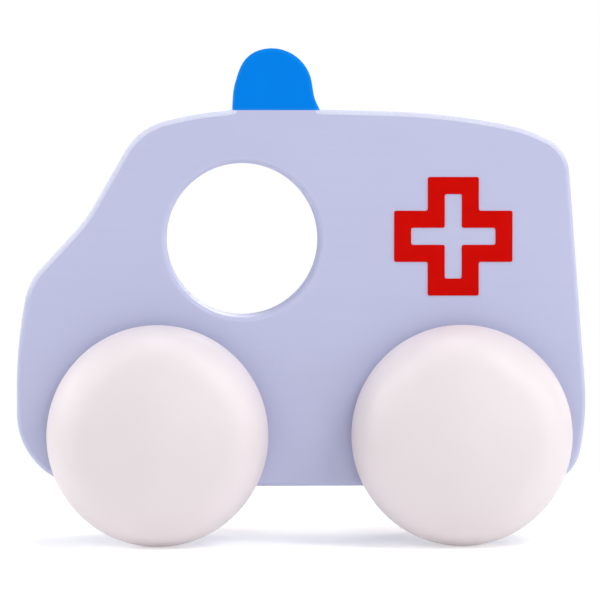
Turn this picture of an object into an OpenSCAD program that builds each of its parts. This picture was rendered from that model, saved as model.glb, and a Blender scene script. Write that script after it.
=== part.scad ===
// Push-along toy ambulance. A flat board with eased edges and a round grip hole
// carries a beacon block on two dowels, a printed cross on each side and two
// turning dowel axles with domed wheels glued on their ends.
// Millimetres, +Z up, nose toward -X, left side toward -Y, floor at z = 0 and
// the origin on the floor under the middle of the board.

/* [Board] */
// Length of the board over its unrounded nose and tail
board_l = 140.7; // [128:0.1:156]
// Height of the board from its underside to the roof
board_h = 92.8; // [84:0.1:104]
// Thickness of the board
board_t = 24; // [18:1:32]
// Radius that eases the sawn edges and the rims of the grip hole
ease_r = 1.2; // [0.6:0.1:2]

/* [Front outline] */
// Radius of the lower front corner
chin_r = 18; // [12:1:22]
// Height on the nose where it starts to lean back
nose_z = 33.5; // [32:0.5:37]
// Radius of the bow of the nose
nose_r = 110; // [60:5:140]
// Distance of the bonnet's front corner behind the nose
bonnet_x = 2.8; // [1.5:0.1:4]
// Height of the bonnet's front corner
bonnet_z = 50.3; // [48:0.1:54]
// Radius of the bonnet's front corner
bonnet_r = 16; // [8:1:20]
// Distance of the windscreen's foot behind the nose
cowl_x = 17; // [15:0.5:19]
// Height of the windscreen's foot
cowl_z = 65.6; // [63:0.1:68]
// Radius of the hollow at the windscreen's foot
cowl_r = 40; // [20:1:50]
// Distance of the windscreen's top behind the nose
brow_x = 30.1; // [27:0.1:33]
// Drop of the windscreen's top below the roof
brow_drop = 4.4; // [2:0.1:6]
// Radius of the windscreen's top
brow_r = 16; // [8:1:20]
// Distance behind the nose where the roof levels out
roof_x = 45.5; // [44:0.5:48]
// Drop of the roof where it levels out
roof_drop = 0.8; // [0.5:0.1:1.2]
// Radius of the bend where the roof levels out
roof_r = 70; // [20:1:80]
// Length of the lip that rises to the beacon's front foot
lip_l = 1.8; // [1:0.1:3]
// Drop of the roof at the start of the lip
lip_drop = 0.4; // [0.2:0.1:0.6]
// Radius of the hollow at the start of the lip
lip_r = 1; // [0.5:0.1:2]

/* [Rear outline] */
// Distance before the tail where the roof starts to fall
fall_x = 35.5; // [30:0.5:45]
// Drop of the roof where it starts to fall
fall_drop = 0.8; // [0.2:0.1:1.5]
// Radius of the bend where the roof starts to fall
fall_r = 170; // [60:5:180]
// Distance of the shoulder before the tail
shoulder_x = 15; // [13:0.5:18]
// Drop of the shoulder below the roof
shoulder_drop = 4.7; // [3.5:0.1:5.5]
// Radius of the shoulder
shoulder_r = 40; // [20:1:44]
// Distance of the upper rear corner before the tail
tail_top_x = 5; // [3:0.5:7]
// Drop of the upper rear corner below the roof
tail_top_drop = 9.9; // [8:0.1:12]
// Radius of the upper rear corner
tail_top_r = 9.5; // [5:0.5:11]
// Height of the tail's farthest point
tail_z = 17.5; // [15:0.5:24]
// Radius of the bow of the tail
tail_r = 62; // [30:1:65]
// Distance of the lower rear corner before the tail
heel_x = 3.4; // [2:0.1:6]
// Radius of the lower rear corner
heel_r = 10.8; // [6:0.1:11.5]

/* [Grip hole] */
// Diameter of the grip hole
grip_d = 38; // [30:0.5:42]
// Distance of the grip hole's centre behind the nose
grip_x = 55.7; // [52:0.1:60]
// Depth of the grip hole's centre below the roof
grip_drop = 32.1; // [31:0.1:36]

/* [Beacon] */
// Distance of the beacon's front foot behind the nose
beacon_x = 53.2; // [51:0.1:58]
// Width of the beacon at its foot
beacon_w = 21.3; // [18:0.1:26]
// Lean of the beacon's front flank below its bend
bend_lean = 0.3; // [0:0.1:1]
// Height of the front flank's bend above the roof
bend_h = 5.8; // [4:0.1:8]
// Radius of the front flank's bend
bend_r = 19; // [10:1:22]
// Lean of the beacon's unrounded front top corner
beacon_front_lean = 2.9; // [2:0.1:4]
// Height of the beacon's unrounded front top corner above the roof
beacon_front_h = 13.6; // [12:0.1:16]
// Radius of the beacon's front top corner
beacon_front_r = 7.4; // [4:0.1:8]
// Lean of the beacon's unrounded rear top corner
beacon_rear_lean = 3.7; // [2.5:0.1:5]
// Height of the beacon's unrounded rear top corner above the roof
beacon_rear_h = 17.6; // [15:0.1:19]
// Radius of the beacon's rear top corner
beacon_rear_r = 10; // [5:0.5:11]
// Lean of the beacon's rear flank below its bend
flare_lean = 1.3; // [0.8:0.1:2]
// Height of the rear flank's bend above the roof
flare_h = 2.8; // [2.2:0.1:4]
// Radius of the rear flank's bend
flare_r = 8; // [4:0.5:9]
// Radius of the hollows between the roof and the beacon's seat
foot_r = 0.1; // [0.05:0.05:0.15]
// Height of the beacon's seat above the roof
seat_rise = 0.15; // [0.15:0.05:1]

/* [Beacon dowels] */
// Diameter of a beacon dowel
dowel_d = 5; // [4:0.5:6]
// Length of a beacon dowel below the seat
dowel_down = 8; // [6:0.5:9]
// Length of a beacon dowel above the seat
dowel_up = 6; // [4:0.5:7]
// Distance of a dowel's centre from the nearer foot of the beacon
dowel_inset = 6.5; // [6:0.5:7.5]
// Glue clearance around a beacon dowel
dowel_gap = 0.05; // [0.02:0.01:0.2]

/* [Cross] */
// Span of the printed cross
cross_span = 29.2; // [22:0.1:32]
// Width of an arm of the cross
cross_arm = 12.6; // [10:0.1:13]
// Width of the printed line
cross_line = 4.2; // [2:0.1:4.6]
// Radius of the corners of the printed line
cross_corner_r = 0.5; // [0.1:0.1:0.6]
// Distance of the cross's centre before the tail
cross_x = 33.3; // [30:0.1:38]
// Depth of the cross's centre below the roof
cross_drop = 31.2; // [26:0.1:34]
// Thickness of the printed layer
print_t = 0.2; // [0.1:0.05:0.4]

/* [Wheels] */
// Diameter of a wheel
wheel_d = 54.3; // [48:0.1:60]
// Thickness of a wheel from its back to its crown
wheel_w = 19; // [18:0.5:25]
// Radius of the crowned outer side
crown_r = 60; // [48:1:100]
// Radius of the round between the tread and the crowned side
rim_r = 14; // [6:0.5:15]
// Radius of the round at the back of the tread
back_r = 2; // [1:0.5:3]
// Diameter of the boss that keeps a wheel off the board
boss_d = 20; // [14:0.5:26]
// Height of the boss
boss_h = 1; // [0.5:0.1:2]
// Gap between a boss and the board
side_gap = 0.5; // [0.3:0.1:1]

/* [Axles] */
// Diameter of an axle
axle_d = 10; // [6:0.5:12]
// Distance of the front axle behind the nose
front_axle_x = 34.6; // [31:0.1:38]
// Distance between the axles
wheelbase = 74.7; // [68:0.1:80]
// Height of the axles above the board's underside
axle_z = 12.8; // [10:0.1:16]
// Running clearance around an axle in the board
axle_gap = 0.1; // [0.05:0.01:0.1]
// Depth of an axle hole in a wheel, from the face of the boss
hub_depth = 12; // [8:0.5:14]
// Glue clearance around an axle in a wheel
hub_gap = 0.05; // [0.02:0.01:0.2]
// Clearance at the closed end of a blind hole
end_gap = 0.5; // [0.2:0.1:1]
// Chamfer on the ends of axles and dowels
chamfer = 0.8; // [0.4:0.1:1.2]

/* [Hidden] */

$fn = 96;
// Largest departure of a facet from its arc, and the largest angle of a facet
chord_err = 0.015;
facet_angle = 18;
// Facets across an eased edge, and the share of the last one past the face
ease_steps = 3;
overrun = 0.1;
// Largest share of a side that the arcs at its two ends may take together
side_share = 0.99;
// Overrun of a cutting shape past the surface that it cuts
over = 1;

left = -1;
right = 1;
rear_axle_x = front_axle_x + wheelbase;
underside_z = wheel_d / 2 - axle_z;
grip_z = board_h - grip_drop;
cross_z = board_h - cross_drop;
seat_z = board_h + seat_rise;
beacon_back_x = beacon_x + beacon_w;
axle_l = board_t + 2 * (side_gap + hub_depth - end_gap);

// Corners of the silhouette as [distance behind the nose, height above the
// underside, radius], clockwise from the lower front corner
front_corners = [
    [0, 0, chin_r],
    [0, nose_z, nose_r],
    [bonnet_x, bonnet_z, bonnet_r],
    [cowl_x, cowl_z, cowl_r],
    [brow_x, board_h - brow_drop, brow_r],
    [roof_x, board_h - roof_drop, roof_r],
    [beacon_x - lip_l, board_h - lip_drop, lip_r],
    [beacon_x, board_h, foot_r]
];
beacon_corners = [
    [beacon_x + bend_lean, board_h + bend_h, bend_r],
    [beacon_x + beacon_front_lean, board_h + beacon_front_h, beacon_front_r],
    [beacon_back_x - beacon_rear_lean, board_h + beacon_rear_h, beacon_rear_r],
    [beacon_back_x - flare_lean, board_h + flare_h, flare_r]
];
rear_corners = [
    [beacon_back_x, board_h, foot_r],
    [board_l - fall_x, board_h - fall_drop, fall_r],
    [board_l - shoulder_x, board_h - shoulder_drop, shoulder_r],
    [board_l - tail_top_x, board_h - tail_top_drop, tail_top_r],
    [board_l, tail_z, tail_r],
    [board_l - heel_x, 0, heel_r]
];

// The seat splits the silhouette's arcs between the board and the beacon
arcs = rounded(concat(front_corners, beacon_corners, rear_corners));
first_top = len(front_corners);
last_top = first_top + len(beacon_corners) - 1;
front_seat = seat_point(front_corners[first_top - 1], beacon_corners[0]);
rear_seat = seat_point(beacon_corners[last_top - first_top], rear_corners[0]);
beacon_path = concat([front_seat], chain(arcs, first_top, last_top), [rear_seat]);
board_path = concat(
    chain(arcs, 0, first_top - 1),
    [front_seat, rear_seat],
    chain(arcs, last_top + 1, len(arcs) - 1)
);
board_xs = [for (p = board_path) p[0]];
mid_x = (min(board_xs) + max(board_xs)) / 2;

// Unit vector from point a to point b
function toward(a, b) = (b - a) / norm(b - a);

// Plane vector v turned anticlockwise by an angle
function turned(v, angle) = [
    v[0] * cos(angle) - v[1] * sin(angle),
    v[0] * sin(angle) + v[1] * cos(angle)
];

// Angle of one facet on an arc of radius r
function facet(r) = min(facet_angle, 2 * acos(1 - chord_err / r));

// Arc about a centre from angle a to angle b, without its first skip points
function arc(centre, r, a, b, skip = 0) =
    let (steps = ceil(abs(b - a) / facet(r)))
    [for (k = [skip:steps]) centre + r * turned([1, 0], a + (b - a) * k / steps)];

// Angle by which a path turns at tip between a and b, negative to the right
function turn_at(a, tip, b) =
    let (come = tip - a, go = b - tip)
    atan2(cross(come, go), come * go);

// Corner at tip between a and b, rounded into [x, z, nx, nz] rows with the
// outward normal at each point of a clockwise path
function round_corner(a, tip, b, r) =
    let (
        come = toward(a, tip),
        turn = turn_at(a, tip, b),
        bulge = turn < 0 ? 1 : -1,
        normal = turned(come, 90),
        start = tip - come * r * tan(abs(turn) / 2),
        centre = start - bulge * r * normal,
        steps = ceil(abs(turn) / facet(r))
    )
    [
        for (k = [0:steps])
            let (n = turned(normal, turn * k / steps))
            concat(centre + bulge * r * n, n)
    ];

// Arcs that round the [x, z, r] corners of a closed clockwise path. A radius
// is cut back where its arc would run into the next one.
function rounded(list) =
    let (
        count = len(list),
        tips = [for (c = list) [c[0], c[1]]],
        after = [for (i = [0:count - 1]) tips[(i + 1) % count]],
        before = [for (i = [0:count - 1]) tips[(i + count - 1) % count]],
        reach = [
            for (i = [0:count - 1])
                list[i][2] * tan(abs(turn_at(before[i], tips[i], after[i])) / 2)
        ],
        share = [
            for (i = [0:count - 1])
                side_share * norm(after[i] - tips[i]) / (reach[i] + reach[(i + 1) % count])
        ]
    )
    [
        for (i = [0:count - 1])
            let (fit = min(1, share[i], share[(i + count - 1) % count]))
            round_corner(before[i], tips[i], after[i], list[i][2] * fit)
    ];

// Points of the arcs from one index to another, in one list
function chain(list, first, last) = [for (i = [first:last]) each list[i]];

// Where the flank from corner a to corner b crosses the seat. Its normal is
// drawn out so that an inset keeps the point on the seat.
function seat_point(a, b) =
    let (
        foot = [a[0], a[1]],
        rise = [b[0], b[1]] - foot,
        normal = turned(rise / norm(rise), 90),
        point = foot + rise * (seat_z - foot[1]) / rise[1]
    )
    concat(point, [1 / normal[0], 0]);

// Puts what is drawn in the board's own frame in its place over the floor
module on_board() {
    translate([-mid_x, 0, underside_z])
        children();
}

// Slab across the middle plane with the given path and quarter-round edges.
// The last facet of an edge runs on past the face, which is then cut flat.
module eased_slab(path, thick, ease) {
    count = len(path);
    reach = 2 * (board_l + board_h);
    // Each ring is [inset from the path, distance from the middle plane]
    round_rings = [
        for (k = [0:ease_steps])
            let (tilt = 90 * k / ease_steps)
            [ease * (1 - cos(tilt)), thick / 2 - ease * (1 - sin(tilt))]
    ];
    face_ring = round_rings[ease_steps];
    past_ring = face_ring + overrun * (face_ring - round_rings[ease_steps - 1]);
    half = concat([for (k = [0:ease_steps - 1]) round_rings[k]], [past_ring]);
    rings = concat(
        [for (k = [ease_steps:-1:0]) [half[k][0], -half[k][1]]],
        half
    );
    last = len(rings) - 1;
    points = [
        for (ring = rings)
            for (p = path)
                [p[0] - ring[0] * p[2], ring[1], p[1] - ring[0] * p[3]]
    ];
    left_face = [for (i = [0:count - 1]) i];
    right_face = [for (i = [count - 1:-1:0]) last * count + i];
    edges = [
        for (k = [0:last - 1])
            for (i = [0:count - 1])
                let (j = (i + 1) % count)
                [k * count + i, (k + 1) * count + i, (k + 1) * count + j, k * count + j]
    ];
    intersection() {
        polyhedron(points, concat([left_face, right_face], edges));
        cube([reach, thick, reach], center = true);
    }
}

// Plug that cuts the grip hole with its quarter-round rims. The last facet of
// a rim runs on in a straight line past the board's face.
module grip_plug() {
    wall_r = grip_d / 2;
    end_y = board_t / 2 + over;
    rim = arc([wall_r + ease_r, board_t / 2 - ease_r], ease_r, 180, 90);
    tip = rim[len(rim) - 1];
    facet_run = tip - rim[len(rim) - 2];
    flare = tip + facet_run * over / facet_run[1];
    half = concat([for (k = [0:len(rim) - 2]) rim[k]], [flare, [0, end_y]]);
    other_half = [for (k = [len(half) - 1:-1:0]) [half[k][0], -half[k][1]]];
    translate([grip_x, 0, grip_z])
        rotate([-90, 0, 0])
            rotate_extrude()
                polygon(concat(half, other_half));
}

// Round rod along Z about its middle, with chamfered ends
module rod(d, l) {
    rotate_extrude()
        polygon([
            [0, -l / 2], [d / 2 - chamfer, -l / 2], [d / 2, chamfer - l / 2],
            [d / 2, l / 2 - chamfer], [d / 2 - chamfer, l / 2], [0, l / 2]
        ]);
}

// Places of the two beacon dowels on the seat
module at_dowels() {
    for (x = [beacon_x + dowel_inset, beacon_back_x - dowel_inset])
        translate([x, 0, seat_z])
            children();
}

// Blind holes for the beacon dowels, on both sides of the seat
module dowel_holes() {
    at_dowels()
        translate([0, 0, -dowel_down - end_gap])
            cylinder(d = dowel_d + 2 * dowel_gap, h = dowel_down + dowel_up + 2 * end_gap);
}

// Hole for an axle across the board
module axle_hole(x) {
    translate([x, 0, axle_z])
        rotate([90, 0, 0])
            cylinder(d = axle_d + 2 * axle_gap, h = board_t + 2 * over, center = true);
}

module body_board() {
    color("#c1c4e3")
        on_board()
            difference() {
                eased_slab(board_path, board_t, ease_r);
                grip_plug();
                dowel_holes();
                axle_hole(front_axle_x);
                axle_hole(rear_axle_x);
            }
}

module roof_beacon() {
    color("#0182ea")
        on_board()
            difference() {
                eased_slab(beacon_path, board_t, ease_r);
                dowel_holes();
            }
}

module beacon_dowels() {
    color("#d9b382")
        on_board()
            at_dowels()
                translate([0, 0, (dowel_up - dowel_down) / 2])
                    rod(dowel_d, dowel_down + dowel_up);
}

// Filled cross with rounded corners
module cross_shape(span, arm) {
    quarter = [[-arm, span] / 2, [arm, span] / 2, [arm, arm] / 2];
    tips = [for (k = [0:3]) for (p = quarter) turned(p, -90 * k)];
    corners = rounded([for (t = tips) concat(t, cross_corner_r)]);
    polygon([for (p = chain(corners, 0, len(corners) - 1)) [p[0], p[1]]]);
}

// Outlined cross printed on one side of the board
module printed_cross(side) {
    color("#ce0d02")
        on_board()
            translate([board_l - cross_x, side * (board_t + print_t) / 2, cross_z])
                rotate([90, 0, 0])
                    linear_extrude(print_t, center = true)
                        difference() {
                            cross_shape(cross_span, cross_arm);
                            cross_shape(cross_span - 2 * cross_line, cross_arm - 2 * cross_line);
                        }
}

module left_cross() {
    printed_cross(left);
}

module right_cross() {
    printed_cross(right);
}

module axle(x) {
    color("#d9b382")
        on_board()
            translate([x, 0, axle_z])
                rotate([90, 0, 0])
                    rod(axle_d, axle_l);
}

module front_axle() {
    axle(front_axle_x);
}

module rear_axle() {
    axle(rear_axle_x);
}

// Wheel with its back on the XY plane, its boss below and its crown above
module domed_wheel() {
    hub_r = axle_d / 2 + hub_gap;
    hub_top = hub_depth - boss_h;
    rim_x = wheel_d / 2 - rim_r;
    crown_mid = wheel_w - crown_r;
    rim_mid = crown_mid + sqrt(pow(crown_r - rim_r, 2) - pow(rim_x, 2));
    blend = acos(rim_x / (crown_r - rim_r));
    rotate_extrude()
        polygon(concat(
            [[hub_r, -boss_h], [boss_d / 2, -boss_h], [boss_d / 2, 0]],
            arc([wheel_d / 2 - back_r, back_r], back_r, -90, 0),
            arc([rim_x, rim_mid], rim_r, 0, blend),
            arc([0, crown_mid], crown_r, blend, 90, skip = 1),
            [[0, hub_top], [hub_r, hub_top]]
        ));
}

// Wheel on one end of the axle at x
module wheel(x, side) {
    color("#f2ecef")
        on_board()
            translate([x, side * (board_t / 2 + side_gap + boss_h), axle_z])
                rotate([-90 * side, 0, 0])
                    domed_wheel();
}

module front_left_wheel() {
    wheel(front_axle_x, left);
}

module front_right_wheel() {
    wheel(front_axle_x, right);
}

module rear_left_wheel() {
    wheel(rear_axle_x, left);
}

module rear_right_wheel() {
    wheel(rear_axle_x, right);
}

body_board();
roof_beacon();
beacon_dowels();
left_cross();
right_cross();
front_axle();
front_left_wheel();
front_right_wheel();
rear_axle();
rear_left_wheel();
rear_right_wheel();
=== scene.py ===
import math

import bpy
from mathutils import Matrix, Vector
from mathutils.geometry import delaunay_2d_cdt


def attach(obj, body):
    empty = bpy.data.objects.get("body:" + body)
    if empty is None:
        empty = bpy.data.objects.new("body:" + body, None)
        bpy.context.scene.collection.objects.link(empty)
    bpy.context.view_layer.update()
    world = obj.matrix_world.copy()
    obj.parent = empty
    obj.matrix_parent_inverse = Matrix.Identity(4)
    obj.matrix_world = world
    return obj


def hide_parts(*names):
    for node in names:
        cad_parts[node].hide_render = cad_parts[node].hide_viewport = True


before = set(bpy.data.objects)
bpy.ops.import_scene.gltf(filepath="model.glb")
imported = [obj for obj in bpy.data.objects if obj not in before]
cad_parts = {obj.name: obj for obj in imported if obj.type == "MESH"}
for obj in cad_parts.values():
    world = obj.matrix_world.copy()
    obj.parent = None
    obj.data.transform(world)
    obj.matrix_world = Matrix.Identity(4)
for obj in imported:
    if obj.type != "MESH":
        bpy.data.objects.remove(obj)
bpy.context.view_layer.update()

# Sizes in millimetres, with the same names and values as in the part's source.
BOARD_L, BOARD_H, BOARD_T, EASE_R = 140.7, 92.8, 24.0, 1.2
BEACON_X, BEACON_W, FOOT_R, SEAT_RISE = 53.2, 21.3, 0.1, 0.15
GRIP_D, GRIP_X, GRIP_DROP = 38.0, 55.7, 32.1
DOWEL_D, DOWEL_DOWN, DOWEL_UP, DOWEL_INSET, DOWEL_GAP = 5.0, 8.0, 6.0, 6.5, 0.05
CROSS_SPAN, CROSS_ARM, CROSS_LINE, CROSS_CORNER_R = 29.2, 12.6, 4.2, 0.5
CROSS_X, CROSS_DROP, PRINT_T, FILM_EASE = 33.3, 31.2, 0.2, 0.06
WHEEL_D, WHEEL_W, CROWN_R, RIM_R, BACK_R = 54.3, 19.0, 60.0, 14.0, 2.0
BOSS_D, BOSS_H, SIDE_GAP = 20.0, 1.0, 0.5
AXLE_D, FRONT_AXLE_X, WHEELBASE, AXLE_Z = 10.0, 34.6, 74.7, 12.8
AXLE_GAP, HUB_DEPTH, HUB_GAP, END_GAP, CHAMFER = 0.1, 12.0, 0.05, 0.5, 0.8

SEAT_Z = BOARD_H + SEAT_RISE
GRIP_Z = BOARD_H - GRIP_DROP
CROSS_Z = BOARD_H - CROSS_DROP
REAR_AXLE_X = FRONT_AXLE_X + WHEELBASE
UNDERSIDE_Z = WHEEL_D / 2 - AXLE_Z
AXLE_L = BOARD_T + 2 * (SIDE_GAP + HUB_DEPTH - END_GAP)
BEACON_BACK_X = BEACON_X + BEACON_W
LEFT, RIGHT = -1, 1

# Corners of the silhouette: distance behind the nose, height over the
# underside, radius.
FRONT_CORNERS = [
    (0, 0, 18),
    (0, 33.5, 110),
    (2.8, 50.3, 16),
    (17, 65.6, 40),
    (30.1, BOARD_H - 4.4, 16),
    (45.5, BOARD_H - 0.8, 70),
    (BEACON_X - 1.8, BOARD_H - 0.4, 1),
    (BEACON_X, BOARD_H, FOOT_R),
]
BEACON_CORNERS = [
    (BEACON_X + 0.3, BOARD_H + 5.8, 19),
    (BEACON_X + 2.9, BOARD_H + 13.6, 7.4),
    (BEACON_BACK_X - 3.7, BOARD_H + 17.6, 10),
    (BEACON_BACK_X - 1.3, BOARD_H + 2.8, 8),
]
REAR_CORNERS = [
    (BEACON_BACK_X, BOARD_H, FOOT_R),
    (BOARD_L - 35.5, BOARD_H - 0.8, 170),
    (BOARD_L - 15, BOARD_H - 4.7, 40),
    (BOARD_L - 5, BOARD_H - 9.9, 9.5),
    (BOARD_L, 17.5, 62),
    (BOARD_L - 3.4, 0, 10.8),
]

# Fineness of the meshes.
MM = 0.001
CHORD_ERR = 0.0015
LARGEST_STEP = math.radians(6)
SIDE_SHARE = 0.99
EASE_STEPS = 7
FILM_STEPS = 3
HOLE_SIDES = 160
ROD_SIDES = 64
WHEEL_SIDES = 160
GRID_PITCH = 4.0
GRID_CLEAR = 1.5
POINT_DIGITS = 5
FILL_ERR = 1e-6

# Paler eased edges: along the outline a painted highlight that grows as an edge turns upward, as if lit from
# above, over slight edge wear; on the rims of the grip hole an even, slighter paleness.
EDGE_HIGHLIGHT_GAIN = 1.6
RIM_RUB = 0.15


def turned(v, angle):
    """Plane vector turned anticlockwise."""
    c, s = math.cos(angle), math.sin(angle)
    return Vector((v[0] * c - v[1] * s, v[0] * s + v[1] * c))


def arc_steps(r, sweep):
    """Number of segments for an arc."""
    step = min(LARGEST_STEP, 2 * math.acos(1 - CHORD_ERR / max(r, CHORD_ERR)))
    return max(1, math.ceil(abs(sweep) / step))


def turn_at(a, tip, b):
    """Signed turn of a path at a corner."""
    come, go = tip - a, b - tip
    return math.atan2(come.x * go.y - come.y * go.x, come.dot(go))


def rounded(corners):
    """Arcs that round the corners of a closed clockwise path, each a list of
    (point, outward normal)."""
    count = len(corners)
    tips = [Vector((x, z)) for x, z, r in corners]
    turns = [turn_at(tips[i - 1], tips[i], tips[(i + 1) % count]) for i in range(count)]
    reach = [corners[i][2] * math.tan(abs(turns[i]) / 2) for i in range(count)]
    share = [
        SIDE_SHARE * (tips[(i + 1) % count] - tips[i]).length / (reach[i] + reach[(i + 1) % count])
        for i in range(count)
    ]
    arcs = []
    for i in range(count):
        r = corners[i][2] * min(1, share[i], share[i - 1])
        come = (tips[i] - tips[i - 1]).normalized()
        bulge = 1 if turns[i] < 0 else -1
        normal = turned(come, math.pi / 2)
        centre = tips[i] - come * r * math.tan(abs(turns[i]) / 2) - bulge * r * normal
        steps = arc_steps(r, turns[i])
        arc = []
        for k in range(steps + 1):
            n = turned(normal, turns[i] * k / steps)
            arc.append((centre + bulge * r * n, n))
        arcs.append(arc)
    return arcs


def seat_point(a, b):
    """Where the flank from corner a to corner b crosses the seat."""
    foot = Vector(a[:2])
    rise = Vector(b[:2]) - foot
    point = foot + rise * (SEAT_Z - foot.y) / rise.y
    return point, turned(rise.normalized(), math.pi / 2)


SILHOUETTE = rounded(FRONT_CORNERS + BEACON_CORNERS + REAR_CORNERS)
FIRST_TOP = len(FRONT_CORNERS)
LAST_TOP = FIRST_TOP + len(BEACON_CORNERS)
FRONT_SEAT = seat_point(FRONT_CORNERS[-1], BEACON_CORNERS[0])
REAR_SEAT = seat_point(BEACON_CORNERS[-1], REAR_CORNERS[0])
BOARD_FRONT = [p for arc in SILHOUETTE[:FIRST_TOP] for p in arc]
BOARD_REAR = [p for arc in SILHOUETTE[LAST_TOP:] for p in arc]
BEACON_TOP = [p for arc in SILHOUETTE[FIRST_TOP:LAST_TOP] for p in arc]
BOARD_XS = [p.x for p, n in BOARD_FRONT + BOARD_REAR]
MID_X = (min(BOARD_XS) + max(BOARD_XS)) / 2


class Shell:
    """Collects faces with a normal at each corner, and shares equal points."""

    def __init__(self):
        self.points, self.index, self.faces, self.normals, self.eased = [], {}, [], [], []

    def point(self, p):
        key = tuple(round(c, POINT_DIGITS) for c in p)
        if key not in self.index:
            self.index[key] = len(self.points)
            self.points.append(p)
        return self.index[key]

    def face(self, corners, eased=None):
        """Adds a face from (point, normal) corners, turned to its normals."""
        ids = [self.point(tuple(p)) for p, n in corners]
        kept = [k for k in range(len(ids)) if ids[k] != ids[k - 1]]
        if len(kept) < 3:
            return
        spots = [Vector(corners[k][0]) for k in kept]
        across = Vector()
        for k in range(1, len(spots) - 1):
            across += (spots[k] - spots[0]).cross(spots[k + 1] - spots[0])
        mean = Vector()
        for k in kept:
            mean += Vector(corners[k][1])
        if across.dot(mean) < 0:
            kept.reverse()
        self.faces.append([ids[k] for k in kept])
        self.normals.extend(Vector(corners[k][1]).normalized() for k in kept)
        self.eased.extend(eased[k] if eased else 0.0 for k in kept)

    def strip(self, row, other, closed, eased=None):
        """Adds the quads between two equal rows of (point, normal), with the paleness of the edge at each
        point of the rows: edge wear, and a painted highlight on upward edges."""
        for k in range(len(row) if closed else len(row) - 1):
            j = (k + 1) % len(row)
            wear_and_highlight = [eased[i] for i in (k, j, j, k)] if eased else None
            self.face([row[k], row[j], other[j], other[k]], wear_and_highlight)

    def sheet(self, loops, place, normal):
        """Fills the area inside the first plane loop and outside the others."""
        outer = loops[0]
        spots, edges = [], []
        for loop in loops:
            first = len(spots)
            spots.extend(Vector(p) for p in loop)
            edges.extend((first + k, first + (k + 1) % len(loop)) for k in range(len(loop)))
        low = [min(p[a] for p in outer) for a in (0, 1)]
        high = [max(p[a] for p in outer) for a in (0, 1)]
        for i in range(1, int((high[0] - low[0]) / GRID_PITCH) + 1):
            for j in range(1, int((high[1] - low[1]) / GRID_PITCH) + 1):
                p = Vector((low[0] + i * GRID_PITCH, low[1] + j * GRID_PITCH))
                inside = within(p, outer) and not any(within(p, hole) for hole in loops[1:])
                if inside and all((p - Vector(q)).length > GRID_CLEAR for loop in loops for q in loop):
                    spots.append(p)
        made, _, triangles, *_ = delaunay_2d_cdt(spots, edges, [], 0, FILL_ERR)
        for t in triangles:
            middle = sum((made[k] for k in t), Vector((0, 0))) / 3
            if within(middle, outer) and not any(within(middle, hole) for hole in loops[1:]):
                self.face([(place(made[k]), normal) for k in t])

    def build(self, name, origin=(0, 0, 0)):
        """Makes the mesh object, in metres, with its origin at a point of the
        board's frame."""
        base = Vector((origin[0] - MID_X, origin[1], origin[2] + UNDERSIDE_Z)) * MM
        shift = Vector(origin)
        mesh = bpy.data.meshes.new(name)
        mesh.from_pydata([(Vector(p) - shift) * MM for p in self.points], [], self.faces)
        mesh.shade_smooth()
        mesh.normals_split_custom_set(self.normals)
        layer = mesh.attributes.new("eased", "FLOAT", "CORNER")
        layer.data.foreach_set("value", self.eased)
        piece = bpy.data.objects.new(name, mesh)
        piece.location = base
        bpy.context.scene.collection.objects.link(piece)
        return piece


def within(p, loop):
    """Whether a plane point lies inside a closed loop."""
    inside = False
    for k in range(len(loop)):
        a, b = loop[k - 1], loop[k]
        if (a[1] > p[1]) != (b[1] > p[1]):
            if p[0] < a[0] + (p[1] - a[1]) * (b[0] - a[0]) / (b[1] - a[1]):
                inside = not inside
    return inside


def circle(centre, r, sides):
    """Points of a circle in a plane."""
    return [Vector(centre) + turned((r, 0), 2 * math.pi * k / sides) for k in range(sides)]


def ease_profile():
    """(inset, distance from the middle plane, share of the normal along the
    path's own, share along Y) across an eased edge."""
    rows = []
    for k in range(EASE_STEPS + 1):
        t = math.pi / 2 * k / EASE_STEPS
        rows.append((EASE_R * (1 - math.cos(t)), BOARD_T / 2 - EASE_R * (1 - math.sin(t)),
                     math.cos(t), math.sin(t)))
    return rows


def eased_slab(shell, path, up, cap_holes, dowel_depth):
    """Slab with eased edges along an open path that a flat seat closes. The
    seat faces up or down and holds the dowel holes."""
    rows = ease_profile()
    rings = [(inset, -y, a, -b) for inset, y, a, b in reversed(rows)] + rows
    last = len(path) - 1
    ring_rows = []
    for inset, y, along, across in rings:
        row = []
        for k, (p, n) in enumerate(path):
            offset = Vector((1 / n.x, 0)) if k in (0, last) else n
            q = p - inset * offset
            row.append(((q.x, y, q.y), (n.x * along, across, n.y * along)))
        ring_rows.append(row)
    # Paler upward edges of the outline: a painted highlight from above, with some edge wear.
    wear_and_highlight = [min(1.0, max(0.0, EDGE_HIGHLIGHT_GAIN * n.y)) for p, n in path]
    for k in range(len(rings) - 1):
        shell.strip(ring_rows[k], ring_rows[k + 1], False, wear_and_highlight if k != EASE_STEPS else None)
    for row, side in ((ring_rows[0], LEFT), (ring_rows[-1], RIGHT)):
        y = side * BOARD_T / 2
        outline = [(p[0], p[2]) for p, n in row]
        shell.sheet([outline] + cap_holes, lambda v, y=y: (v.x, y, v.y), (0, side, 0))
    seat = [(row[0][0][0], row[0][0][1]) for row in ring_rows]
    seat += [(row[-1][0][0], row[-1][0][1]) for row in reversed(ring_rows)]
    holes = []
    for x in (BEACON_X + DOWEL_INSET, BEACON_BACK_X - DOWEL_INSET):
        hole = circle((x, 0), DOWEL_D / 2 + DOWEL_GAP, ROD_SIDES)
        holes.append(hole)
        end_z = SEAT_Z - up * (dowel_depth + END_GAP)
        inward = [Vector((x - p.x, -p.y, 0)) for p in hole]
        shell.strip([((p.x, p.y, SEAT_Z), n) for p, n in zip(hole, inward)],
                    [((p.x, p.y, end_z), n) for p, n in zip(hole, inward)], True)
        shell.face([((p.x, p.y, end_z), (0, 0, up)) for p in hole])
    shell.sheet([seat] + holes, lambda v: (v.x, v.y, SEAT_Z), (0, 0, up))


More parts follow.
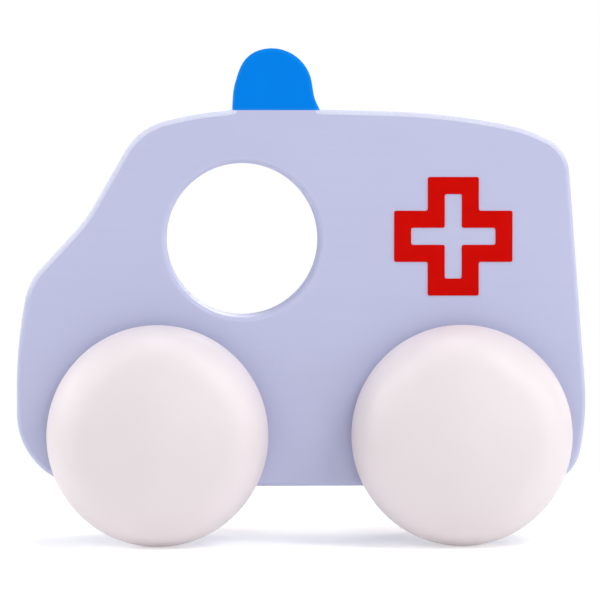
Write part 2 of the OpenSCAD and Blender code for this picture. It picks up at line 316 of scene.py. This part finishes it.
def hole_rows(centre, profile, sides):
    """Rows of a hole across the board. The profile holds (radius, y, share of
    the normal toward the axis, share along Y)."""
    rows = []
    for r, y, inward, across in profile:
        row = []
        for k in range(sides):
            d = turned((1, 0), 2 * math.pi * k / sides)
            row.append(((centre[0] + r * d.x, y, centre[1] + r * d.y),
                        (-inward * d.x, across, -inward * d.y)))
        rows.append(row)
    return rows


def make_board():
    """Board with its grip hole, axle holes and dowel holes."""
    shell = Shell()
    grip = (GRIP_X, GRIP_Z)
    axles = [(x, AXLE_Z) for x in (FRONT_AXLE_X, REAR_AXLE_X)]
    axle_r = AXLE_D / 2 + AXLE_GAP
    holes = [circle(grip, GRIP_D / 2 + EASE_R, HOLE_SIDES)]
    holes += [circle(c, axle_r, ROD_SIDES) for c in axles]
    path = [REAR_SEAT] + BOARD_REAR + BOARD_FRONT + [FRONT_SEAT]
    eased_slab(shell, path, 1, holes, DOWEL_DOWN)
    rim = [(GRIP_D / 2 + inset, y, a, b) for inset, y, a, b in ease_profile()]
    rim = [(r, -y, a, -b) for r, y, a, b in reversed(rim)] + rim
    rows = hole_rows(grip, rim, HOLE_SIDES)
    for k in range(len(rows) - 1):
        shell.strip(rows[k], rows[k + 1], True, [RIM_RUB] * HOLE_SIDES if k != EASE_STEPS else None)
    for c in axles:
        profile = [(axle_r, side * BOARD_T / 2, 1, 0) for side in (LEFT, RIGHT)]
        near, far = hole_rows(c, profile, ROD_SIDES)
        shell.strip(near, far, True)
    return shell.build("board_painted")


def make_beacon():
    """Beacon on its seat, with its dowel holes."""
    shell = Shell()
    eased_slab(shell, [FRONT_SEAT] + BEACON_TOP + [REAR_SEAT], -1, [], DOWEL_UP)
    return shell.build("beacon_painted", (BEACON_X, 0, SEAT_Z))


def lathe(shell, runs, sides, place):
    """Turns runs of (radius, height, normal out, normal up) about an axis."""
    for run in runs:
        rows = []
        for r, h, out, up in run:
            row = []
            for k in range(sides):
                d = turned((1, 0), 2 * math.pi * k / sides)
                row.append((place(r * d.x, r * d.y, h), place(out * d.x, out * d.y, up, True)))
            rows.append(row)
        for k in range(len(rows) - 1):
            shell.strip(rows[k], rows[k + 1], True)


def flat_run(a, b):
    """Straight run of a lathe profile, with the solid on its left."""
    d = (Vector(b) - Vector(a)).normalized()
    return [(a[0], a[1], d.y, -d.x), (b[0], b[1], d.y, -d.x)]


def round_run(centre, r, start, end):
    """Round run of a lathe profile."""
    steps = arc_steps(r, end - start)
    run = []
    for k in range(steps + 1):
        n = turned((1, 0), start + (end - start) * k / steps)
        run.append((centre[0] + r * n.x, centre[1] + r * n.y, n.x, n.y))
    return run


def wheel_runs():
    """Section of a wheel: boss, back, tread, round rim, crown and hub hole."""
    wheel_r, boss_r, hub_r = WHEEL_D / 2, BOSS_D / 2, AXLE_D / 2 + HUB_GAP
    hub_top = HUB_DEPTH - BOSS_H
    rim_x = wheel_r - RIM_R
    crown_mid = WHEEL_W - CROWN_R
    rim_mid = crown_mid + math.sqrt((CROWN_R - RIM_R) ** 2 - rim_x ** 2)
    blend = math.acos(rim_x / (CROWN_R - RIM_R))
    return [
        flat_run((hub_r, -BOSS_H), (boss_r, -BOSS_H)),
        flat_run((boss_r, -BOSS_H), (boss_r, 0)),
        flat_run((boss_r, 0), (wheel_r - BACK_R, 0)),
        round_run((wheel_r - BACK_R, BACK_R), BACK_R, -math.pi / 2, 0),
        flat_run((wheel_r, BACK_R), (wheel_r, rim_mid)),
        round_run((rim_x, rim_mid), RIM_R, 0, blend),
        round_run((0, crown_mid), CROWN_R, blend, math.pi / 2),
        flat_run((0, hub_top), (hub_r, hub_top)),
        flat_run((hub_r, hub_top), (hub_r, -BOSS_H)),
    ]


def make_wheel(name, x, side):
    """Wheel at an axle's end."""
    shell = Shell()
    back_y = side * (BOARD_T / 2 + SIDE_GAP + BOSS_H)

    def place(a, b, h, direction=False):
        if direction:
            return (a, side * h, b)
        return (x + a, back_y + side * h, AXLE_Z + b)

    lathe(shell, wheel_runs(), WHEEL_SIDES, place)
    return shell.build(name, (x, back_y, AXLE_Z))


def rod_runs(d, l):
    """Section of a rod about its middle, with chamfered ends."""
    r, h = d / 2, l / 2
    section = [(0, -h), (r - CHAMFER, -h), (r, CHAMFER - h), (r, h - CHAMFER), (r - CHAMFER, h), (0, h)]
    return [flat_run(section[k], section[k + 1]) for k in range(len(section) - 1)]


def make_axle(name, x):
    """Axle across the board."""
    shell = Shell()

    def place(a, b, h, direction=False):
        return (a, h, b) if direction else (x + a, h, AXLE_Z + b)

    lathe(shell, rod_runs(AXLE_D, AXLE_L), ROD_SIDES, place)
    return shell.build(name, (x, 0, AXLE_Z))


def make_dowels():
    """The two dowels across the beacon's seat."""
    shell = Shell()
    middle = SEAT_Z + (DOWEL_UP - DOWEL_DOWN) / 2
    for x in (BEACON_X + DOWEL_INSET, BEACON_BACK_X - DOWEL_INSET):
        def place(a, b, h, direction=False, x=x):
            return (a, b, h) if direction else (x + a, b, middle + h)

        lathe(shell, rod_runs(DOWEL_D, DOWEL_DOWN + DOWEL_UP), ROD_SIDES, place)
    return shell.build("beacon_dowels_wood", (BEACON_X, 0, middle))


def cross_path(span, arm):
    """Rounded outline of a cross as (point, outward normal)."""
    quarter = [(-arm / 2, span / 2), (arm / 2, span / 2), (arm / 2, arm / 2)]
    tips = [turned(p, -math.pi / 2 * k) for k in range(4) for p in quarter]
    return [p for arc in rounded([(t.x, t.y, CROSS_CORNER_R) for t in tips]) for p in arc]


def make_cross(name, side):
    """Printed film of the outlined cross, with softened edges."""
    shell = Shell()
    centre = Vector((BOARD_L - CROSS_X, CROSS_Z))
    face_y = BOARD_T / 2
    levels = [(0, face_y, 1, 0), (0, face_y + PRINT_T - FILM_EASE, 1, 0)]
    for k in range(1, FILM_STEPS + 1):
        t = math.pi / 2 * k / FILM_STEPS
        levels.append((FILM_EASE * (1 - math.cos(t)), face_y + PRINT_T - FILM_EASE * (1 - math.sin(t)),
                       math.cos(t), math.sin(t)))
    loops = []
    outer = cross_path(CROSS_SPAN, CROSS_ARM)
    inner = cross_path(CROSS_SPAN - 2 * CROSS_LINE, CROSS_ARM - 2 * CROSS_LINE)
    for path, way in ((outer, 1), (inner, -1)):
        rows = []
        for inset, y, along, across in levels:
            row = []
            for p, n in path:
                q = centre + p - way * inset * n
                row.append(((q.x, side * y, q.y), (way * along * n.x, side * across, way * along * n.y)))
            rows.append(row)
        for k in range(len(rows) - 1):
            shell.strip(rows[k], rows[k + 1], True)
        loops.append(rows)
    for level, facing in ((0, -1), (-1, 1)):
        y = side * levels[level][1]
        outlines = [[(p[0], p[2]) for p, n in rows[level]] for rows in loops]
        shell.sheet(outlines, lambda v, y=y: (v.x, y, v.y), (0, side * facing, 0))
    return shell.build(name, (centre.x, side * face_y, centre.y))


def linear(r, g, b):
    """Scene colour of a display colour given in 0 to 255."""
    def one(c):
        c /= 255
        return c / 12.92 if c <= 0.04045 else ((c + 0.055) / 1.055) ** 2.4
    return (one(r), one(g), one(b), 1.0)


def shaded(colour, amount):
    """Colour made lighter or darker."""
    return tuple(min(1.0, c * amount) for c in colour[:3]) + (1.0,)


class Nodes:
    """Builds a node tree with one call for each node."""

    def __init__(self, tree):
        self.tree = tree
        tree.nodes.clear()

    def add(self, kind, inputs=None, **settings):
        """Adds a node, and links or sets its inputs."""
        node = self.tree.nodes.new(kind)
        for key, value in settings.items():
            setattr(node, key, value)
        for key, value in (inputs or {}).items():
            self.feed(node.inputs[key], value)
        return node

    def feed(self, socket, value):
        """Links a socket to another, or sets its constant."""
        if isinstance(value, bpy.types.NodeSocket):
            self.tree.links.new(value, socket)
        else:
            socket.default_value = value

    def math(self, operation, *values):
        return self.add("ShaderNodeMath", dict(enumerate(values)), operation=operation).outputs[0]

    def millimetres(self):
        """Place on the piece."""
        spot = self.add("ShaderNodeTexCoord").outputs["Object"]
        return self.add("ShaderNodeVectorMath", {0: spot, "Scale": 1 / MM}, operation="SCALE").outputs[0]

    def stretched(self, place, scale):
        """Place with its own scale along each axis."""
        return self.add("ShaderNodeMapping", {"Vector": place, "Scale": scale}).outputs["Vector"]

    def noise(self, place, scale, detail, **more):
        inputs = {"Vector": place, "Scale": scale, "Detail": detail, **more}
        return self.add("ShaderNodeTexNoise", inputs).outputs["Fac"]

    def ramp(self, factor, stops):
        """Colour ramp with the given (position, colour) stops."""
        node = self.add("ShaderNodeValToRGB", {"Fac": factor})
        elements = node.color_ramp.elements
        while len(elements) < len(stops):
            elements.new(1.0)
        for element, (position, colour) in zip(elements, stops):
            element.position, element.color = position, colour
        return node.outputs["Color"]

    def tinted(self, noise, colour, darkest, lightest):
        """Colour that a noise makes darker and lighter."""
        stops = [(NOISE_LOW, shaded(colour, darkest)), (NOISE_HIGH, shaded(colour, lightest))]
        return self.ramp(noise, stops)

    def grade(self, value, to_low, to_high, low=None, high=None):
        """Maps a value's range, or else that of a noise, to another."""
        return self.add("ShaderNodeMapRange", {
            "Value": value, "From Min": NOISE_LOW if low is None else low,
            "From Max": NOISE_HIGH if high is None else high, "To Min": to_low, "To Max": to_high,
        }).outputs["Result"]

    def mixed(self, factor, a, b):
        """Mix of two colours, each a socket or a constant."""
        node = self.add("ShaderNodeMix", data_type="RGBA")
        sockets = [node.inputs["Factor"]] + [s for s in node.inputs if s.type == "RGBA"]
        for socket, value in zip(sockets, (factor, a, b)):
            self.feed(socket, value)
        return next(o for o in node.outputs if o.type == "RGBA")

    def surface(self, colour, roughness, specular, relief, bump, depth):
        """Shader with a fine relief."""
        raised = self.add("ShaderNodeBump", {"Height": relief, "Strength": bump, "Distance": depth})
        shader = self.add("ShaderNodeBsdfPrincipled", {
            "Base Color": colour, "Roughness": roughness, "Specular IOR Level": specular,
            "Normal": raised.outputs["Normal"],
        })
        self.add("ShaderNodeOutputMaterial", {"Surface": shader.outputs[0]})

    def on_view(self):
        """1 for what the camera, a reflection or glass shows, and 0 for what lights the toy."""
        rays = self.add("ShaderNodeLightPath").outputs
        direct = self.math("MAXIMUM", rays["Is Camera Ray"], rays["Is Glossy Ray"])
        return self.math("MAXIMUM", direct, rays["Is Transmission Ray"])


def material(name):
    mat = bpy.data.materials.new(name)
    mat.use_nodes = True
    return mat, Nodes(mat.node_tree)


# Most of a noise lies between these values.
NOISE_LOW, NOISE_HIGH = 0.3, 0.7

# Paint of the board and the beacon: colour, paler colour of the eased edges (edge wear and a painted
# highlight on upward edges), gloss, roughness and the scale of the grain along each axis.
BODY_COLOUR, BODY_PALE = linear(193, 196, 227), linear(228, 230, 247)
BODY_SPECULAR, BODY_ROUGH, BODY_GRAIN = 0.25, 0.5, (0.03, 0.5, 0.6)
BEACON_COLOUR, BEACON_PALE = linear(1, 130, 234), linear(4, 132, 234)
BEACON_SPECULAR, BEACON_ROUGH, BEACON_GRAIN = 0.03, 0.55, (0.5, 0.5, 0.04)
FIBRE_DETAIL, FIBRE_ROUGH = 4.0, 0.6
CLOUD_SCALE, CLOUD_DETAIL = 0.035, 2.0
PEEL_SCALE, PEEL_DETAIL, PEEL_ROUGH = 1.1, 2.0, 0.45
MOTTLE, VEIL, VEIL_SHARE = 0.015, 0.02, 0.5
# Range of that edge paleness, wear and painted highlight, across the orange peel.
PALE_EDGE_LEAST, PALE_EDGE_MOST = 0.55, 0.75
ROUGH_SPREAD = 0.04
PAINT_BUMP, PAINT_DEPTH = 0.12, 0.00004

# How far the beacon's paint runs over the seam, on the board.
PAINT_OVER = 0.37

# Paint of the wheels, with faint rings from the lathe.
WHEEL_COLOUR, WHEEL_DARKEST, WHEEL_LIGHTEST = linear(232, 223, 226), 0.985, 1.01
WHEEL_SPECULAR, WHEEL_ROUGH = 0.7, (0.44, 0.52)
RING_SCALE, RING_DETAIL = 1.4, 3.0
WHEEL_CLOUD_SCALE, WHEEL_PEEL_SCALE, WHEEL_DETAIL = 0.05, 1.2, 2.0
WHEEL_BUMP, WHEEL_DEPTH = 0.1, 0.00004

# Print of the crosses.
CROSS_COLOUR, CROSS_DARKEST, CROSS_LIGHTEST = linear(206, 6, 0), 0.96, 1.04
CROSS_SPECULAR, CROSS_ROUGH = 0.04, (0.55, 0.65)
FILM_SCALE, FILM_DETAIL, TOOTH_SCALE, TOOTH_DETAIL = 0.25, 3.0, 3.0, 2.0
CROSS_BUMP, CROSS_DEPTH = 0.12, 0.00003

# Bare wood: scales along the grain and across it.
WOOD_PALE, WOOD_DARK, FLECK_COLOUR = linear(222, 186, 140), linear(190, 142, 92), 0.8
GRAIN_ALONG, GRAIN_ACROSS, FLECK_ALONG, FLECK_ACROSS = 0.08, 0.9, 0.35, 2.6
GRAIN_DETAIL, GRAIN_ROUGH, GRAIN_WARP, FLECK_DETAIL = 5.0, 0.6, 0.4, 2.0
FLECK_FROM, FLECK_TO, FLECK_MOST, WOOD_PALE_AT = 0.55, 0.75, 0.5, 0.65
WOOD_SPECULAR, WOOD_ROUGH = 0.3, (0.55, 0.7)
WOOD_BUMP, WOOD_DEPTH = 0.2, 0.00005


def painted_over(nodes, millimetres, colour, other):
    """Colour with another paint that starts a little below the beacon's seat."""
    axes = nodes.add("ShaderNodeSeparateXYZ", {0: millimetres}).outputs
    high = nodes.math("GREATER_THAN", axes["Z"], SEAT_Z - PAINT_OVER)
    aside = nodes.math("SUBTRACT", axes["X"], BEACON_X + BEACON_W / 2)
    near = nodes.math("LESS_THAN", nodes.math("ABSOLUTE", aside), BEACON_W / 2)
    return nodes.mixed(nodes.math("MULTIPLY", high, near), colour, other)


def paint(name, colour, pale, specular, rough, grain, other=None):
    """Satin paint over wood: slow mottling, faint grain under the film, fine orange peel, and paler eased
    edges, which are partly a thinner film and partly a painted highlight on the upward edges."""
    mat, nodes = material(name)
    millimetres = nodes.millimetres()
    fibre = nodes.noise(nodes.stretched(millimetres, grain), 1.0, FIBRE_DETAIL, Roughness=FIBRE_ROUGH)
    cloud = nodes.noise(millimetres, CLOUD_SCALE, CLOUD_DETAIL)
    peel = nodes.noise(millimetres, PEEL_SCALE, PEEL_DETAIL, Roughness=PEEL_ROUGH)
    eased = nodes.add("ShaderNodeAttribute", attribute_name="eased").outputs["Fac"]
    base = nodes.tinted(cloud, colour, 1 - MOTTLE, 1 + MOTTLE)
    veil = nodes.tinted(fibre, colour, 1 - VEIL, 1 + VEIL)
    # Pale eased edges: edge wear, and a painted highlight where the edges face up.
    edge_wear_and_highlight = nodes.math("MULTIPLY", eased, nodes.grade(peel, PALE_EDGE_LEAST, PALE_EDGE_MOST))
    film = nodes.mixed(edge_wear_and_highlight, nodes.mixed(VEIL_SHARE, base, veil), pale)
    if other:
        film = painted_over(nodes, millimetres, film, other)
    roughness = nodes.grade(fibre, rough - ROUGH_SPREAD, rough + ROUGH_SPREAD)
    nodes.surface(film, roughness, specular, nodes.math("ADD", peel, fibre), PAINT_BUMP, PAINT_DEPTH)
    return mat


def wheel_paint_material():
    """White paint on turned wood, with faint rings about the axle."""
    mat, nodes = material("wheel_paint")
    millimetres = nodes.millimetres()
    flat = nodes.add("ShaderNodeVectorMath", {0: millimetres, 1: (1, 0, 1)}, operation="MULTIPLY").outputs[0]
    radius = nodes.add("ShaderNodeVectorMath", {0: flat}, operation="LENGTH").outputs["Value"]
    rings = nodes.add("ShaderNodeTexNoise", {"W": radius, "Scale": RING_SCALE, "Detail": RING_DETAIL},
                      noise_dimensions="1D").outputs["Fac"]
    cloud = nodes.noise(millimetres, WHEEL_CLOUD_SCALE, WHEEL_DETAIL)
    peel = nodes.noise(millimetres, WHEEL_PEEL_SCALE, WHEEL_DETAIL)
    base = nodes.tinted(cloud, WHEEL_COLOUR, WHEEL_DARKEST, WHEEL_LIGHTEST)
    nodes.surface(base, nodes.grade(rings, *WHEEL_ROUGH), WHEEL_SPECULAR,
                  nodes.math("ADD", peel, rings), WHEEL_BUMP, WHEEL_DEPTH)
    return mat


def print_material():
    """Matte screen print with a slightly uneven film."""
    mat, nodes = material("cross_print")
    millimetres = nodes.millimetres()
    film = nodes.noise(millimetres, FILM_SCALE, FILM_DETAIL)
    tooth = nodes.noise(millimetres, TOOTH_SCALE, TOOTH_DETAIL)
    base = nodes.tinted(film, CROSS_COLOUR, CROSS_DARKEST, CROSS_LIGHTEST)
    nodes.surface(base, nodes.grade(tooth, *CROSS_ROUGH), CROSS_SPECULAR, tooth, CROSS_BUMP, CROSS_DEPTH)
    return mat


def wood_material(name, along):
    """Bare beech with its grain along one axis and short darker flecks."""
    mat, nodes = material(name)
    millimetres = nodes.millimetres()
    stretch = [GRAIN_ALONG if axis == along else GRAIN_ACROSS for axis in range(3)]
    flecks = [FLECK_ALONG if axis == along else FLECK_ACROSS for axis in range(3)]
    grain = nodes.noise(nodes.stretched(millimetres, stretch), 1.0, GRAIN_DETAIL,
                        Roughness=GRAIN_ROUGH, Distortion=GRAIN_WARP)
    fleck = nodes.noise(nodes.stretched(millimetres, flecks), 1.0, FLECK_DETAIL)
    marks = nodes.grade(fleck, 0.0, FLECK_MOST, FLECK_FROM, FLECK_TO)
    base = nodes.ramp(grain, [(NOISE_LOW, WOOD_DARK), (WOOD_PALE_AT, WOOD_PALE)])
    shade = nodes.mixed(marks, base, shaded(WOOD_DARK, FLECK_COLOUR))
    nodes.surface(shade, nodes.grade(grain, *WOOD_ROUGH), WOOD_SPECULAR, grain, WOOD_BUMP, WOOD_DEPTH)
    return mat


Y_AXIS, Z_AXIS = 1, 2
body_paint = paint("body_paint", BODY_COLOUR, BODY_PALE, BODY_SPECULAR, BODY_ROUGH, BODY_GRAIN, BEACON_COLOUR)
beacon_paint = paint("beacon_paint", BEACON_COLOUR, BEACON_PALE, BEACON_SPECULAR, BEACON_ROUGH, BEACON_GRAIN)
wheel_paint = wheel_paint_material()
cross_print = print_material()
axle_wood = wood_material("bare_wood_axle", Y_AXIS)
dowel_wood = wood_material("bare_wood_dowel", Z_AXIS)


def dress(piece, body, node, mat):
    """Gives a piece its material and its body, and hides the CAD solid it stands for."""
    piece.data.materials.append(mat)
    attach(piece, body)
    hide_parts(node)


SIDES = ((LEFT, "left"), (RIGHT, "right"))
dress(make_board(), "body", "body_board", body_paint)
dress(make_beacon(), "body", "roof_beacon", beacon_paint)
dress(make_dowels(), "body", "beacon_dowels", dowel_wood)
for side, word in SIDES:
    dress(make_cross(word + "_cross_film", side), "body", word + "_cross", cross_print)
for end, x in (("front", FRONT_AXLE_X), ("rear", REAR_AXLE_X)):
    dress(make_axle(end + "_axle_wood", x), end + "_wheelset", end + "_axle", axle_wood)
    for side, word in SIDES:
        node = end + "_" + word + "_wheel"
        dress(make_wheel(node + "_turned", x, side), end + "_wheelset", node, wheel_paint)


def placed(name, data, place, aim):
    """Adds a camera or lamp that looks at a point."""
    thing = bpy.data.objects.new(name, data)
    thing.location = place
    thing.rotation_mode = "QUATERNION"
    thing.rotation_quaternion = (Vector(aim) - Vector(place)).to_track_quat("-Z", "Y")
    bpy.context.scene.collection.objects.link(thing)
    return thing


# Camera at the photograph's angle, aimed at the point of the near face that
# lies in the middle of the picture.
AZIMUTH, ELEVATION = math.radians(-1.75), math.radians(2.0)
DISTANCE, VIEW_WIDTH = 0.87, 0.14765
CLIP_NEAR, CLIP_FAR = 0.01, 50
AIM_X, AIM_Z = 69.64, 45.95
AIM = Vector((AIM_X - MID_X, -BOARD_T / 2, AIM_Z + UNDERSIDE_Z)) * MM
BACK = Vector((math.sin(AZIMUTH) * math.cos(ELEVATION), -math.cos(AZIMUTH) * math.cos(ELEVATION),
               math.sin(ELEVATION)))
camera = placed("camera", bpy.data.cameras.new("camera"), AIM + BACK * DISTANCE, AIM)
camera.data.lens = camera.data.sensor_width * DISTANCE / VIEW_WIDTH
camera.data.clip_start, camera.data.clip_end = CLIP_NEAR, CLIP_FAR
bpy.context.scene.camera = camera

# Soft lamps all around, the strongest from the upper right and from behind:
# place, watts.
CENTRE = Vector((0, 0, 0.06))
LAMP_SIZE = 0.5
LAMPS = {
    "key": ((0.56, -0.44, 0.77), 3.75),
    "right_side": ((0.95, -0.20, 0.30), 2.3),
    "right_front": ((0.70, -0.75, 0.20), 0.8),
    "front": ((0.20, -1.05, 0.30), 1.2),
    "left_front": ((-0.70, -0.75, 0.20), 0.4),
    "left_side": ((-0.95, -0.20, 0.30), 2.4),
    "left_back": ((-0.85, 0.25, 0.45), 2.0),
    "left_top": ((-0.60, -0.40, 0.77), 1.7),
    "top": ((0.0, 0.0, 1.05), 2.6),
    "back": ((0.20, 1.00, 0.55), 4.2),
    "right_back": ((0.70, 0.75, 0.40), 1.0),
}
for name, (place, power) in LAMPS.items():
    lamp = bpy.data.lights.new(name, "AREA")
    lamp.shape, lamp.size, lamp.energy = "DISK", LAMP_SIZE, power
    placed(name, lamp, place, CENTRE)

# White surroundings for what the camera and reflections see, and a plain soft
# light from all around for the rest.
WHITE = (1, 1, 1, 1)
AMBIENT = 0.03
world = bpy.data.worlds.new("studio")
bpy.context.scene.world = world
world.use_nodes = True
nodes = Nodes(world.node_tree)
soft = nodes.add("ShaderNodeBackground", {"Color": WHITE, "Strength": AMBIENT})
white = nodes.add("ShaderNodeBackground", {"Color": WHITE, "Strength": 1.0})
both = nodes.add("ShaderNodeMixShader", {0: nodes.on_view(), 1: soft.outputs[0], 2: white.outputs[0]})
nodes.add("ShaderNodeOutputWorld", {"Surface": both.outputs[0]})

# Pale floor that glows a little, keeps the shadow near the toy and turns into
# the white surroundings farther out.
FLOOR_R, FLOOR_SIDES = 3.0, 96
FADE_FROM, FADE_TO = 0.10, 0.22
FLOOR_PAPER = (0.9, 0.9, 0.9, 1)
FLOOR_GLOW, FLOOR_SHOWN = 0.12, 0.4
floor_mesh = bpy.data.meshes.new("floor")
floor_mesh.from_pydata([(p.x, p.y, 0) for p in circle((0, 0), FLOOR_R, FLOOR_SIDES)], [],
                       [list(range(FLOOR_SIDES))])
floor = bpy.data.objects.new("floor", floor_mesh)
bpy.context.scene.collection.objects.link(floor)
mat, nodes = material("floor_white")
spot = nodes.add("ShaderNodeTexCoord").outputs["Object"]
far = nodes.add("ShaderNodeVectorMath", {0: spot}, operation="LENGTH").outputs["Value"]
fade = nodes.add("ShaderNodeMapRange", {"Value": far, "From Min": FADE_FROM, "From Max": FADE_TO},
                 interpolation_type="SMOOTHSTEP").outputs["Result"]
view = nodes.on_view()
paper = nodes.add("ShaderNodeBsdfDiffuse", {"Color": FLOOR_PAPER})
shine = nodes.grade(view, FLOOR_GLOW, FLOOR_SHOWN, 0.0, 1.0)
lift = nodes.add("ShaderNodeEmission", {"Color": WHITE, "Strength": shine})
lit = nodes.add("ShaderNodeAddShader", {0: paper.outputs[0], 1: lift.outputs[0]})
glow = nodes.add("ShaderNodeEmission", {"Color": WHITE, "Strength": 1.0})
far_seen = nodes.math("MULTIPLY", fade, view)
both = nodes.add("ShaderNodeMixShader", {0: far_seen, 1: lit.outputs[0], 2: glow.outputs[0]})
nodes.add("ShaderNodeOutputMaterial", {"Surface": both.outputs[0]})
floor_mesh.materials.append(mat)

bpy.context.scene.view_settings.view_transform = "Standard"
